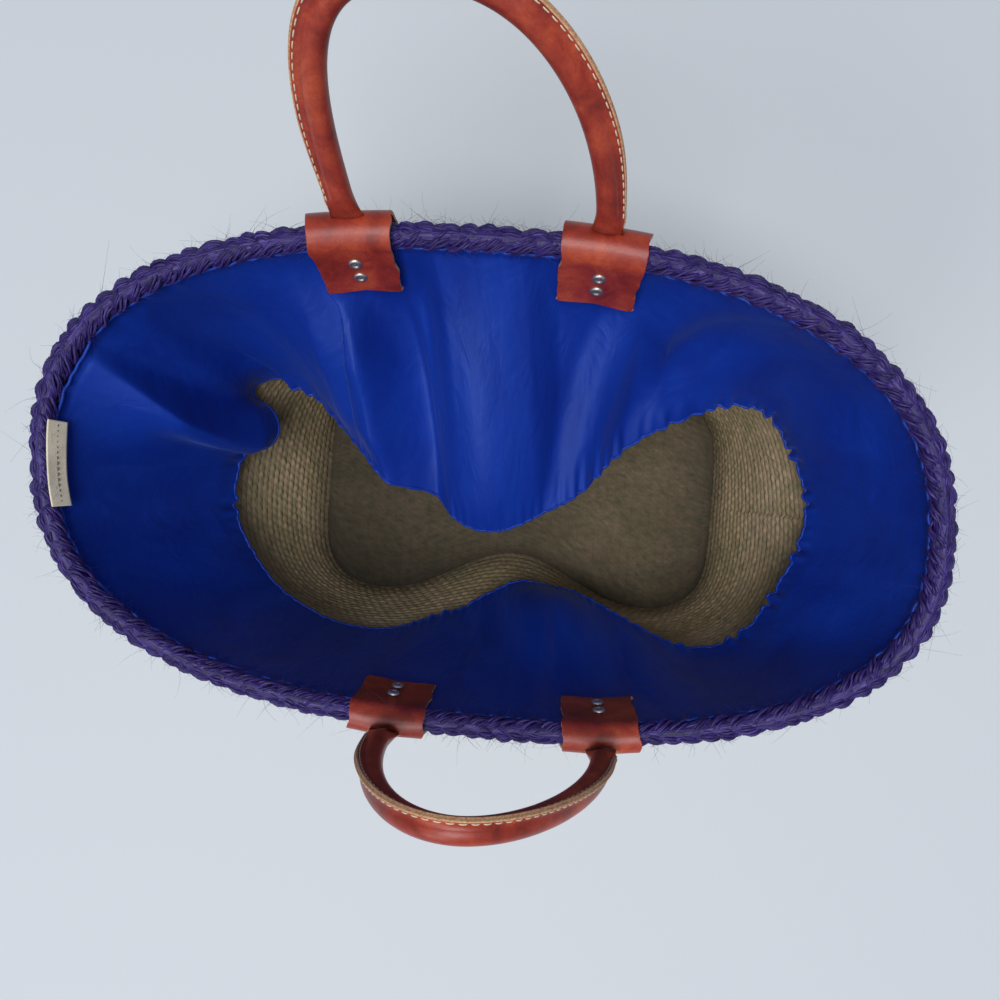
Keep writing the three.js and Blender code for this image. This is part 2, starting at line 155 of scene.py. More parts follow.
class Grids:
    """Gathers grids of points with uvs, all in millimetres, into one mesh"""

    def __init__(self):
        self.points, self.faces, self.uvs, self.slots = [], [], [], []
        self.count = 0

    def add(self, points, wrap=(False, False), u=None, v=None, slot=0, flip=False):
        rows, columns = points.shape[:2]
        spans = [n if closed else n - 1 for n, closed in zip((rows, columns), wrap)]
        starts = np.stack(spread(*map(np.arange, spans)), -1)
        corners = np.array([(0, 0), (0, 1), (1, 1), (1, 0)])[::-1 if flip else 1]
        places = (starts[:, :, None] + corners).reshape(-1, 4, 2)
        faces = (places[..., 0] % rows) * columns + places[..., 1] % columns
        u = np.arange(rows + 1.0) if u is None else np.asarray(u, float)
        v = np.arange(columns + 1.0) if v is None else np.asarray(v, float)
        self.points.append(points.reshape(-1, 3))
        self.faces.append(faces + self.count)
        self.uvs.append(np.stack([u[places[..., 0]], v[places[..., 1]]], -1) * MM)
        self.slots.append(np.broadcast_to(slot, spans).ravel())
        self.count += rows * columns
        return self

    def add_tube(self, path, radius, sides, u, around, start=0, closed=False, up=UP):
        """Adds a tube; around is the width of one of its sides in the uvs"""
        self.add(tube_grid(path, radius, sides, closed, up), (closed, True), u,
                 np.arange(sides + 1) * around + start)

    def build(self, name, materials):
        """Makes the object, in metres"""
        points, faces, uvs, slots = (
            np.concatenate(parts) for parts in (self.points, self.faces, self.uvs, self.slots))
        mesh = bpy.data.meshes.new(name)
        mesh.vertices.add(len(points))
        mesh.vertices.foreach_set("co", (points * MM).astype(np.float32).ravel())
        mesh.loops.add(faces.size)
        mesh.loops.foreach_set("vertex_index", faces.astype(np.int32).ravel())
        mesh.polygons.add(len(faces))
        mesh.polygons.foreach_set("loop_start", np.arange(0, faces.size, 4, dtype=np.int32))
        mesh.polygons.foreach_set("material_index", slots.astype(np.int32))
        mesh.polygons.foreach_set("use_smooth", np.ones(len(faces), bool))
        mesh.uv_layers.new(name="UVMap").data.foreach_set("uv", uvs.astype(np.float32).ravel())
        mesh.update()
        mesh.validate()
        for material in materials:
            mesh.materials.append(material)
        return add_object(name, mesh)


def unit(vectors):
    return vectors / np.linalg.norm(vectors, axis=-1, keepdims=True)


def smoothstep(value, low, high):
    share = np.clip((value - low) / (high - low), 0, 1)
    return share * share * (3 - 2 * share)


def path_lengths(points):
    return np.concatenate([[0], np.cumsum(np.linalg.norm(np.diff(points, axis=0), axis=1))])


def read_at(wanted, lengths, values):
    """Rows of values read at the wanted lengths along a path"""
    return np.stack([np.interp(wanted, lengths, column) for column in values.T], -1)


def resample(points, count):
    """Places spread evenly along a path"""
    lengths = path_lengths(points)
    return read_at(np.linspace(0, lengths[-1], count), lengths, points)


def ways_across(path, closed, up=UP):
    """Two ways square to a path: to its side, and up"""
    gap = np.roll(path, -1, 0) - np.roll(path, 1, 0) if closed else np.gradient(path, axis=0)
    tangent = unit(gap)
    side = unit(np.cross(tangent, up))
    return side, np.cross(side, tangent)


def tube_grid(path, radius, sides, closed, up):
    """Rings round a path: rows run along it and columns round it"""
    side, rise = ways_across(path, closed, up)
    angles = np.arange(sides) * tau / sides
    radius = np.broadcast_to(np.asarray(radius, float), len(path))[:, None, None]
    across = side[:, None] * np.cos(angles)[None, :, None]
    above = rise[:, None] * np.sin(angles)[None, :, None]
    return path[:, None] + radius * (across + above)


def wave_sum(place, waves):
    """Sum of cosines: each wave is (length, height, phase)"""
    return sum(height * np.cos(tau * place / length + phase) for length, height, phase in waves)


def random_waves(lengths, heights):
    return [(length, height, random.uniform(0, tau)) for length, height in zip(lengths, heights)]


# Outlines and surfaces of the bag

def bell(distance, width):
    return np.exp(-(distance / width) ** 2)


def oval_reach(turn, half_length, half_depth, squareness):
    along = np.abs(np.cos(turn) / half_length) ** squareness
    across = np.abs(np.sin(turn) / half_depth) ** squareness
    return (along + across) ** (-1 / squareness)


def base_line(turn):
    reach = oval_reach(turn, BASE_HALF_LENGTH, BASE_HALF_DEPTH, BASE_SQUARENESS)
    x = reach * np.cos(turn)
    y = reach * np.sin(turn) * (1 - BASE_PINCH * bell(x, BASE_PINCH_WIDTH))
    return np.stack([x, y, np.zeros_like(x)], -1)


def rim_line(turn):
    """Middle line of the rim braid"""
    half_length = MOUTH_HALF_LENGTH - BRAID_RADIUS
    half_depth = MOUTH_HALF_DEPTH - BRAID_RADIUS
    reach = oval_reach(turn, half_length, half_depth, MOUTH_SQUARENESS)
    y = reach * np.sin(turn)
    x = reach * np.cos(turn) * (1 + MOUTH_TAPER * y / MOUTH_HALF_DEPTH)
    z = MOUTH_HEIGHT + y * tan(MOUTH_TILT)
    return np.stack([MOUTH_OFFSET + x + MOUTH_SHEAR * y, y, z], -1)


def wall_top(turn):
    return rim_line(turn)[..., 2] - BRAID_RADIUS - CLEARANCE


def wall_middle(turn, height):
    share = height / wall_top(turn)
    belly = WALL_BELLY - WALL_BELLY_SLOUCH * np.sin(turn)
    bulged = (share * (1 + belly * (1 - share)))[..., None]
    point = base_line(turn) * (1 - bulged) + rim_line(turn) * bulged
    point[..., 2] = height
    return point


def outward(outline, turn):
    """Level direction that points out of a closed outline"""
    step = 0.002
    tangent = outline(turn + step) - outline(turn - step)
    tangent[..., 2] = 0
    tangent = unit(tangent)
    return np.stack([tangent[..., 1], -tangent[..., 0], np.zeros_like(tangent[..., 0])], -1)


def wall_point(turn, height, offset):
    away = outward(lambda angle: wall_middle(angle, height), turn)
    return wall_middle(turn, height) + away * np.asarray(offset)[..., None]


def across_rim(turn, out, rise):
    """Place across the rim: distance out from the braid's middle, and up"""
    away = outward(rim_line, turn)
    return rim_line(turn) + away * np.asarray(out)[..., None] + UP * np.asarray(rise)[..., None]


def turn_at_x(side, x):
    """Turn at which the rim's front or back stretch passes a given x"""
    turns = np.linspace(0.1, pi - 0.1, 4000)
    places = rim_line(side * turns)[:, 0]
    return side * np.interp(x, places[::-1], turns[::-1])


def wall_lean(turn):
    """How far the wall leans inwards, going down from the rim"""
    drop = TAB_LEAF / 2
    top = wall_top(turn)
    slide = wall_middle(turn, top) - wall_middle(turn, top - drop)
    return atan(float((slide * outward(rim_line, turn)).sum()) / drop)


def along_wall(lean, out, depth):
    """Places across the rim, beside the wall: out from its line, and down from the braid"""
    return np.stack([
        out * cos(lean) - depth * sin(lean),
        -out * sin(lean) - depth * cos(lean)], -1)


def even_turns(outline, count, start=0.0, end=tau):
    """Turns that are spread evenly along an outline"""
    turns = np.linspace(start, end, 6000)
    lengths = path_lengths(outline(turns))
    return np.interp(np.linspace(0, lengths[-1], count), lengths, turns), lengths[-1]


class Leg:
    """One foot of a handle, and the tab that holds it"""

    def __init__(self, handle, hand):
        facts = HANDLES[handle]
        self.name = f"{handle}_{hand}"
        self.side = facts["side"]
        middle = rim_line(np.array(self.side * pi / 2))[0] + facts["shift"]
        self.x = middle + (-1 if hand == "left" else 1) * facts["spacing"] / 2
        self.turn = np.array(turn_at_x(self.side, self.x))
        rim = rim_line(self.turn)
        self.pivot = np.array([self.x, rim[1] + self.side * PIVOT_OUT, rim[2] + PIVOT_UP])
        self.lean = wall_lean(self.turn)


LEGS = {f"{handle}_{hand}": Leg(handle, hand) for handle in HANDLES for hand in ("left", "right")}


# Materials

def set_input(tree, socket, value):
    """Sets a socket's value, or links it to another node's output"""
    if isinstance(value, bpy.types.NodeSocket):
        tree.links.new(value, socket)
    else:
        socket.default_value = value


def new_material(name, roughness, look=None, *facts, **sockets):
    """Material whose look makes its nodes, and gives its colour, bumps and perhaps roughness"""
    material = bpy.data.materials.new(name)
    material.use_nodes = True
    tree = material.node_tree
    shader = tree.nodes["Principled BSDF"]
    for socket, value in {"Roughness": roughness, **sockets}.items():
        set_input(tree, shader.inputs[socket.replace("_", " ")], value)
    outputs = look(tree, *facts) if look else ()
    for socket, value in zip(("Base Color", "Normal", "Roughness"), outputs):
        if value:
            set_input(tree, shader.inputs[socket], value)
    return material


def add_node(tree, kind, **values):
    """Node with its settings and its inputs, which are values or outputs of other nodes"""
    node = tree.nodes.new("ShaderNode" + kind)
    for name, value in values.items():
        if hasattr(node, name) and name not in node.inputs:
            setattr(node, name, value)
        else:
            set_input(tree, node.inputs[name.replace("_", " ")], value)
    return node


def place_vector(tree, source, scale):
    """Texture place in millimetres, stretched by scale; source is UV or Object"""
    start = add_node(tree, "TexCoord").outputs[source]
    scale = [factor / MM for factor in scale]
    return add_node(tree, "Mapping", Vector=start, Scale=scale).outputs["Vector"]


def place_parts(tree, source, scale=(1, 1, 1)):
    return add_node(tree, "SeparateXYZ", Vector=place_vector(tree, source, scale)).outputs


def noise(tree, source, scale, detail, roughness, distortion=0.0):
    place = place_vector(tree, source, scale)
    return add_node(tree, "TexNoise", Vector=place, Scale=1.0, Detail=detail, Roughness=roughness,
                    Distortion=distortion).outputs["Fac"]


def colour_ramp(tree, factor, stops):
    node = add_node(tree, "ValToRGB", Fac=factor)
    ramp = node.color_ramp
    while len(ramp.elements) < len(stops):
        ramp.elements.new(0.5)
    for element, (place, colour) in zip(ramp.elements, stops):
        element.position = place
        element.color = (*colour, 1)
    return node.outputs["Color"]


def tinted(tree, colour, tint, factor=1.0):
    node = add_node(tree, "Mix", data_type="RGBA", blend_type="MULTIPLY")
    for index, value in ((0, factor), (6, colour), (7, tint)):
        set_input(tree, node.inputs[index], value)
    return node.outputs[2]


def bump(tree, height, distance, strength=1.0):
    """Bumps that are some millimetres high"""
    return add_node(
        tree, "Bump", Height=height, Distance=distance * MM, Strength=strength).outputs["Normal"]


def stretched(tree, factor, low, high):
    return add_node(tree, "MapRange", Value=factor, To_Min=low, To_Max=high).outputs["Result"]


def combine(tree, operation, *values):
    node = add_node(tree, "Math", operation=operation)
    for socket, value in zip(node.inputs, values):
        set_input(tree, socket, value)
    return node.outputs[0]


def add_share(tree, total, part, share):
    """Adds a share of one value to another"""
    return combine(tree, "ADD", total, combine(tree, "MULTIPLY", part, share))


WEAVE_SLANT = 1.2


def weave_cells(tree, length, height, turned):
    """A random shade for each slanted stitch of the twining, and 1 between the stitches"""
    parts = place_parts(tree, "UV")
    along, across = (parts["Y"], parts["X"]) if turned else (parts["X"], parts["Y"])
    slanted = add_share(tree, along, across, WEAVE_SLANT)
    place = add_node(tree, "CombineXYZ", X=slanted, Y=across).outputs[0]
    cells = add_node(tree, "TexBrick", Vector=place, Scale=1.0, Mortar_Size=0.5, Mortar_Smooth=1.0,
                     Brick_Width=length, Row_Height=height)
    for socket, level in (("Color1", 0), ("Color2", 1), ("Mortar", 0.5)):
        cells.inputs[socket].default_value = (level, level, level, 1)
    return cells.outputs["Color"], cells.outputs["Fac"]


def fibre_look(tree, lightness, cell, turned, along, across, width, start):
    """Dry twined fibre: tan strands with greenish and pinkish ones

    along and across are ramps of painted shade, over the base's length and over the width of the uv's
    second direction, which begins at the share start.
    """
    grains = noise(tree, "UV", (1 / 9, 1 / 6, 1), 2.0, 0.6)
    patches = noise(tree, "UV", (1 / 60, 1 / 45, 1), 2.0, 0.5)
    streaks = noise(tree, "UV", (1 / 6, 1 / 0.45, 1), 3.0, 0.65)
    shades, joints = weave_cells(tree, *cell, turned)
    mixed = add_share(tree, combine(tree, "MULTIPLY", grains, 0.84), shades, 0.14)
    base = colour_ramp(tree, mixed, [
        (0.18, (0.17, 0.135, 0.078)), (0.35, (0.27, 0.23, 0.14)),
        (0.5, (0.36, 0.28, 0.17)), (0.65, (0.43, 0.31, 0.2)), (0.82, (0.54, 0.45, 0.3))])
    shade = [0.76 * lightness, 0.78 * lightness, 0.7 * lightness]
    toned = tinted(tree, base, colour_ramp(tree, patches, [(0.35, shade), (0.65, [lightness] * 3)]))
    lined = colour_ramp(tree, streaks, [(0.3, (0.7, 0.68, 0.66)), (0.62, (1, 1, 1))])
    colour = tinted(tree, toned, lined, 0.8)
    dark = colour_ramp(tree, joints, [(0.0, (1, 1, 1)), (1.0, (0.84, 0.82, 0.78))])
    colour = tinted(tree, colour, dark)
    # Painted shade: ramps that darken the fibre along the base's length and across the uv's second
    # direction
    for source, axis, reach, begin, levels in (
            ("Object", "X", 2 * BASE_HALF_LENGTH, 0.5, along), ("UV", "Y", width, start, across)):
        share = combine(tree, "ADD", place_parts(tree, source, (1 / reach,) * 3)[axis], begin)
        painted_shade = colour_ramp(tree, share, [(place, [level] * 3) for place, level in levels])
        colour = tinted(tree, colour, painted_shade)
    height = combine(tree, "SUBTRACT", streaks, combine(tree, "MULTIPLY", joints, 0.8))
    return colour, bump(tree, height, 0.28)


def braid_look(tree):
    """Dyed violet fibre bundles, with dull and brighter ones"""
    streaks = noise(tree, "UV", (1 / 14, 1 / 0.9, 1), 3.0, 0.7)
    bundles = noise(tree, "UV", (1 / 26, 1 / 3, 1), 1.0, 0.5)
    colour = colour_ramp(tree, streaks, [
        (0.34, (0.005, 0.002, 0.03)), (0.46, (0.016, 0.007, 0.095)), (0.56, (0.035, 0.018, 0.17)),
        (0.68, (0.12, 0.085, 0.36))])
    dull = colour_ramp(tree, bundles, [(0.35, (0.62, 0.6, 0.68)), (0.6, (1.1, 1.08, 1.05))])
    return tinted(tree, colour, dull), bump(tree, streaks, 0.3)


PUCKER_DEPTH = 34


def satin_look(tree):
    """Royal blue satin: a fine twill, soft creases and a silky highlight"""
    weave = noise(tree, "UV", (1 / 0.5, 1 / 3, 1), 1.0, 0.5)
    creases = noise(tree, "UV", (1 / 38, 1 / 70, 1), 3.0, 0.5, 0.6)
    crinkles = noise(tree, "UV", (1 / 15, 1 / 21, 1), 2.0, 0.5, 1.0)
    puckers = noise(tree, "UV", (1 / 6, 1 / 40, 1), 1.0, 0.5)
    down = place_parts(tree, "UV", (1, 1 / PUCKER_DEPTH, 1))["Y"]
    near_rim = colour_ramp(tree, down, [(0.0, (1, 1, 1)), (1.0, (0, 0, 0))])
    tone = colour_ramp(tree, creases, [(0.3, (0.003, 0.02, 0.23)), (0.7, (0.005, 0.033, 0.31))])
    thread = colour_ramp(tree, weave, [(0.3, (0.9, 0.9, 0.92)), (0.7, (1.05, 1.05, 1.03))])
    height = combine(tree, "MULTIPLY", creases, 2.0)
    gathered = combine(tree, "MULTIPLY", puckers, near_rim)
    for layer, share in ((weave, 0.06), (crinkles, 1.1), (gathered, 1.3)):
        height = add_share(tree, height, layer, share)
    return tinted(tree, tone, thread), bump(tree, height, 1.2, 0.6)


def leather_look(tree):
    """Smooth red-brown leather: fine grain, rubbed tone and a soft polish"""
    place = place_vector(tree, "Object", (1, 1, 1))
    grain = add_node(tree, "TexVoronoi", Vector=place, feature="DISTANCE_TO_EDGE", Scale=1.3)
    pores = noise(tree, "Object", (0.8,) * 3, 4.0, 0.65)
    rubbed = noise(tree, "Object", (1 / 22,) * 3, 4.0, 0.6, 0.4)
    tone = colour_ramp(tree, rubbed, [
        (0.3, (0.16, 0.015, 0.01)), (0.5, (0.3, 0.033, 0.017)), (0.68, (0.44, 0.07, 0.028))])
    mottle = colour_ramp(tree, pores, [(0.3, (0.78, 0.74, 0.72)), (0.62, (1.05, 1.05, 1.05))])
    cells = combine(tree, "MINIMUM", grain.outputs["Distance"], 0.12)
    height = add_share(tree, cells, pores, 0.1)
    colour = tinted(tree, tone, mottle)
    return colour, bump(tree, height, 0.25, 0.7), stretched(tree, rubbed, 0.28, 0.48)


def plain_look(tree, scale, detail, roughness, tones, distance):
    """One noise pattern that sets both the colour and the relief"""
    shade = noise(tree, "Object", (scale,) * 3, detail, roughness)
    return colour_ramp(tree, shade, tones), bump(tree, shade, distance)


def metal_look(tree):
    wear = noise(tree, "Object", (1.2,) * 3, 4.0, 0.6)
    colour = colour_ramp(tree, wear, [(0.3, (0.32, 0.3, 0.28)), (0.6, (0.66, 0.64, 0.6))])
    return colour, None, stretched(tree, wear, 0.55, 0.36)


def label_look(tree):
    """Bare cream tape with a fine cross weave"""
    weave = noise(tree, "UV", (1 / 0.6, 1 / 0.6, 1), 2.0, 0.6)
    stains = noise(tree, "UV", (1 / 12, 1 / 12, 1), 3.0, 0.6)
    tone = colour_ramp(tree, stains, [(0.3, (0.72, 0.64, 0.47)), (0.7, (0.9, 0.83, 0.66))])
    lines = colour_ramp(tree, weave, [(0.3, (0.82, 0.8, 0.77)), (0.7, (1.05, 1.05, 1.05))])
    return tinted(tree, tone, lines), bump(tree, weave, 0.15)


def thread_material(name, dark, light):
    return new_material(name, 0.75, plain_look, 2.5, 2.0, 0.6, [(0.3, dark), (0.7, light)], 0.12)


VIOLET = new_material(
    "violet_fibre", 0.5, braid_look, Specular_IOR_Level=0.35, Sheen_Weight=0.05, Sheen_Roughness=0.4,
    Sheen_Tint=(0.45, 0.4, 0.8, 1))
SATIN = new_material(
    "blue_satin", 0.44, satin_look, Sheen_Weight=0.13, Sheen_Roughness=0.35, Sheen_Tint=(0.25, 0.42, 1, 1),
    Specular_IOR_Level=0.45, Specular_Tint=(0.42, 0.62, 1, 1))
LEATHER = new_material(
    "red_brown_leather", 0.36, leather_look, Specular_IOR_Level=0.4, Coat_Weight=0.1, Coat_Roughness=0.3)
RAW_EDGE = new_material("raw_leather_edge", 0.8, plain_look, 0.9, 4.0, 0.7, [
    (0.3, (0.26, 0.11, 0.05)), (0.5, (0.5, 0.27, 0.14)), (0.7, (0.68, 0.44, 0.26))], 0.2)
METAL = new_material("rivet_metal", 0.4, metal_look, Metallic=1.0)
TAPE = new_material("cream_tape", 0.85, label_look)
CREAM_THREAD = thread_material("cream_thread", (0.42, 0.34, 0.22), (0.75, 0.68, 0.52))
DARK_THREAD = thread_material("dark_thread", (0.05, 0.04, 0.03), (0.16, 0.13, 0.09))
ROPE = thread_material("core_rope", (0.3, 0.21, 0.11), (0.58, 0.45, 0.27))


# Woven body

WEAVE_HEIGHT = 1.5
WALL_CELLS = 160
WALL_ROWS = 46
CELL_STEPS = 5
ROW_STEPS = 4
WALL_WAVES = random_waves((900, 410, 230), (1.6, 1.2, 0.8))

# Lightness of the fibre, as painted light on the wall and painted shade on the base, and painted shade as
# share and level: along the base, and up or across
WALL_PAINTED_LIGHT_TONE, BASE_PAINTED_SHADE_TONE = 1.62, 0.46
# Painted shade on the wall: darker towards its left end, and in a line at its foot inside
WALL_PAINTED_SHADE = ((0.2, 0.85), (0.8, 1)), ((0.5, 1), (0.504, 0.45), (0.514, 0.5), (0.56, 1))
# Painted shade on the base: darker towards both ends and towards its front side
BASE_PAINTED_SHADE = (
    ((0, 0.42), (0.2, 0.5), (0.5, 0.8), (0.68, 1), (0.84, 0.95), (0.95, 0.62), (1, 0.42)),
    ((0, 0.45), (0.1, 0.78), (0.25, 1), (0.9, 1), (1, 0.85)))


def twining(across, along, strength):
    """Relief of twined strands: across counts stakes, along counts rows"""
    row = np.floor(along)
    slanted = across + 0.5 * (row % 2) + 0.35 * (along - row - 0.5)
    bulge = np.abs(np.sin(pi * slanted)) ** 0.8
    ridge = np.abs(np.sin(pi * (along - row))) ** 0.6
    uneven = 0.75 + 0.25 * np.sin(row * 2.3 + np.floor(slanted) * 1.7)
    return strength * bulge * ridge * uneven


def make_wall():
    turns, length = even_turns(
        lambda turn: wall_middle(turn, wall_top(turn) / 2), WALL_CELLS * CELL_STEPS + 1)
    turns = turns[:-1]
    rows = np.linspace(0, 1, WALL_ROWS * ROW_STEPS + 1)
    turn, share = spread(turns, rows)
    height = share * wall_top(turn)
    stake = np.arange(len(turns))[:, None] / CELL_STEPS
    relief = twining(stake, share * WALL_ROWS * 0.9999, WEAVE_HEIGHT)
    half = WALL_THICKNESS / 2 - WEAVE_HEIGHT * 0.6
    sway = wave_sum(turn / tau * length, WALL_WAVES) * np.sin(pi * share)
    outside = wall_point(turn, height, half + relief + sway)
    inside = wall_point(turn, height, -half - relief + sway)
    ring = np.concatenate([outside, inside[:, ::-1]], axis=1)
    u = np.arange(len(turns) + 1) * length / len(turns)
    heights = rows * MOUTH_HEIGHT
    v = np.concatenate([heights, heights[::-1] + MOUTH_HEIGHT, [0]])
    cell = (length / WALL_CELLS, MOUTH_HEIGHT / WALL_ROWS)
    # The wall's fibre is a lighter copy of the base's, as painted light
    fibre = new_material(
        "wall_fibre", 0.88, fibre_look, WALL_PAINTED_LIGHT_TONE, cell, False, *WALL_PAINTED_SHADE, 2 * MOUTH_HEIGHT, 0)
    wall = Grids().add(ring, (True, True), u, v).build("woven_wall_twined", [fibre])
    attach(wall, "bag")
    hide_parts("woven_wall")


BASE_RIBS = 44
BASE_GRAINS = 40
BASE_EDGE_DIP = 3.2
BASE_EDGE_WIDTH = 5
BASE_END = 0.997


def make_base():
    gap = WALL_THICKNESS / 2 - WEAVE_HEIGHT
    reach = BASE_HALF_LENGTH - gap
    ease = np.linspace(-1, 1, BASE_RIBS * CELL_STEPS + 1)
    # Ribs draw closer towards the rounded ends
    x = reach * BASE_END * (0.35 * np.sin(ease * pi / 2) + 0.65 * ease)
    depth = (1 - np.abs(x / reach) ** BASE_SQUARENESS) ** (1 / BASE_SQUARENESS)
    depth = depth * (BASE_HALF_DEPTH - gap) * (1 - BASE_PINCH * bell(x, BASE_PINCH_WIDTH))
    shares = np.linspace(-1, 1, BASE_GRAINS * ROW_STEPS + 1)
    along, across = spread(x, shares)
    y = across * depth[:, None]
    spacing = 2 * reach / BASE_RIBS
    grain = 2 * BASE_HALF_DEPTH / BASE_GRAINS
    relief = twining(y / grain, (along + reach) / spacing, WEAVE_HEIGHT * 0.9)
    edge = np.minimum(1, (1 - np.abs(across)) * 8)
    to_side = (1 - np.abs(across)) * depth[:, None]
    to_end = reach - np.abs(along)
    dip = BASE_EDGE_DIP * np.exp(-np.minimum(to_side, to_end) / BASE_EDGE_WIDTH)
    top = np.stack([along, y, BASE_THICKNESS - 1.2 + relief * edge - dip], -1)
    bottom = np.stack([along, y, WEAVE_HEIGHT - relief * edge], -1)
    ring = np.concatenate([top, bottom[:, ::-1]], axis=1)
    v = np.concatenate([shares * BASE_HALF_DEPTH, 3 * BASE_HALF_DEPTH - shares * BASE_HALF_DEPTH, [0]])
    # The base's fibre is a darker copy of the wall's, as painted shade
    fibre = new_material("base_fibre", 0.88, fibre_look, BASE_PAINTED_SHADE_TONE, (grain, spacing), True,
                         *BASE_PAINTED_SHADE, 2 * BASE_HALF_DEPTH, 0.5)
    base = Grids().add(ring, (False, True), x + reach, v).build("woven_base_twined", [fibre])
    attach(base, "bag")
    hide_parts("woven_base")


# Rim braid

PLAIT_SWING = 3.0
PLAIT_RISE = 2.3
PLAIT_PITCH = 34
PLAIT_STRANDS = 3
PLAIT_STEPS = 860
YARNS = 14
YARN_RADIUS = 0.85
STRAND_WIDTH = 3.5
STRAND_DEPTH = 2.5
YARN_TWISTS = 23


def rim_wobble(length, height, counts):
    """Sum of waves round the rim with random phases"""
    place = np.arange(PLAIT_STEPS) * length / PLAIT_STEPS
    return wave_sum(place, [(length / count, height, random.uniform(0, 7)) for count in counts])


def make_braid():
    turns, length = even_turns(rim_line, PLAIT_STEPS + 1)
    turns = turns[:-1]
    middle, away = rim_line(turns), outward(rim_line, turns)
    pitches = round(length / PLAIT_PITCH)
    phase = np.arange(PLAIT_STEPS) / PLAIT_STEPS * tau
    u = np.arange(PLAIT_STEPS + 1) * length / PLAIT_STEPS
    uneven = rim_wobble(length, 0.3, (13, 22, 31))
    grids = Grids()
    grids.add_tube(middle, BRAID_RADIUS * 0.62, 12, u, 2.5, closed=True)
    for strand in range(PLAIT_STRANDS):
        turned = pitches * phase + strand * tau / PLAIT_STRANDS + uneven
        swing = PLAIT_SWING * np.sin(turned)
        rise = PLAIT_RISE * np.sin(2 * turned)
        centre = middle + away * swing[:, None] + UP * rise[:, None]
        side, lift = ways_across(centre, closed=True)
        for yarn in range(YARNS):
            wobble = rim_wobble(length, 0.1, (29, 61, 97, 143))
            puffed = 1 + wobble
            angle = YARN_TWISTS * phase + yarn * tau / YARNS + wobble
            path = centre + side * (STRAND_WIDTH * puffed * np.cos(angle))[:, None]
            path = path + lift * (STRAND_DEPTH * puffed * np.sin(angle))[:, None]
            radius = YARN_RADIUS * (1 + 0.5 * wobble)
            start = random.uniform(0, 900)
            grids.add_tube(path, radius, 5, u + start, 1.7, start, closed=True)
    braid = grids.build("rim_plait", [VIOLET])
    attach(braid, "bag")
    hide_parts("rim_braid")


HAIRS = 2200
HAIR_RADIUS = 0.09
HAIR_STEPS = 6


def make_hairs():
    """Loose fibres that stand off the plait"""
    grids = Grids()
    turns = random.uniform(0, tau, HAIRS)
    middle, away = rim_line(turns), outward(rim_line, turns)
    along = np.cross(away, UP)
    for i in range(HAIRS):
        angle = random.uniform(-0.9, pi + 0.6)
        normal = away[i] * cos(angle) + UP * sin(angle)
        start = middle[i] + normal * (BRAID_RADIUS - 1.5)
        length = 3 + random.exponential(3.2) if random.random() < 0.96 else random.uniform(9, 20)
        length = min(length, 20)
        lean = along[i] * random.choice([-1, 1]) * random.uniform(0.5, 2.2)
        heading = unit(normal + lean + random.normal(0, 0.3, 3))
        curl = unit(random.normal(0, 1, 3)) * random.uniform(0.3, 0.9)
        shares = np.linspace(0, 1, HAIR_STEPS)[:, None]
        path = start + length * (heading * shares + curl * shares ** 2)
        radius = HAIR_RADIUS * (1 - 0.7 * shares[:, 0])
        grids.add_tube(path, radius, 3, shares[:, 0] * length + i, 1, i, up=unit(random.normal(0, 1, 3)))
    hairs = grids.build("rim_loose_fibres", [VIOLET])
    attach(hairs, "bag")


# Satin lining

CLOTH_THICKNESS = 0.5
CUT_DEPTH = 150
LINING_COLUMNS = 520
LINING_ROWS = 96
CASING_RADIUS = 0.8
EDGE_RADIUS = 0.8

# Creases of the cloth: turn and share where one starts, turn where it meets the hem, its half
# widths towards lower and higher turns, and its height towards the inside of the bag
CREASES = (
    (2.86, -0.1, 2.93, 13, 52, 35),
    (2.64, 0.0, 2.68, 40, 22, -32),
    (2.23, 0.08, 2.06, 22, 64, 34),
    (2.0, 0.12, 1.92, 16, 20, -8),
    (1.62, 0.2, 1.6, 60, 50, 4),
    (0.9, 0.05, 1.33, 24, 22, -4),
    (0.8, 0.05, 1.19, 34, 36, 6),
    (0.5, 0.0, 0.98, 46, 34, -12),
    (0.25, 0.1, 0.3, 40, 34, 9),
    (-0.04, 0.15, 0.0, 26, 22, -6),
    (-0.3, 0.2, -0.26, 30, 22, 6),
    (-0.66, 0.1, -0.6, 44, 34, -10),
    (-1.3, 0.3, -1.46, 40, 36, 9),
    (-1.62, 0.4, -1.8, 12, 14, -3),
    (-2.25, 0.1, -2.2, 54, 44, -4),
    (-2.85, 0.2, -2.8, 36, 30, 5),
)
CREASE_RADIUS = 250

# Waves round the whole rim: count, height and phase
RIM_PUCKERS = ((173, 0.22, 0.3), (121, 0.3, 2.1), (89, 0.3, 4.0))
CLOTH_FOLDS = ((7, 0.8, 0.2), (13, 0.4, 1.0), (23, 0.15, 5.1), (37, 0.1, 2.6))
HEM_RUFFLES = ((151, 0.5, 0.9), (118, 0.6, 3.3), (83, 0.6, 5.5))

# Where the hem is drawn up most: middle turn and half width
FRILLS = ((0.35, 0.6), (1.08, 0.1), (-0.4, 0.3), (-3.03, 0.12), (2.5, 0.1), (-1.9, 0.12))

# The left end's fold, as middle turn, half width and shift: its tip hangs over the opening,
# and the hem beside it is drawn to the front and then back again
HEM_SHIFTS = ((2.9, 0.09, (14, 0, -4)), (2.63, 0.1, (0, -13, 4)), (2.12, 0.24, (-3, 20, 0)))


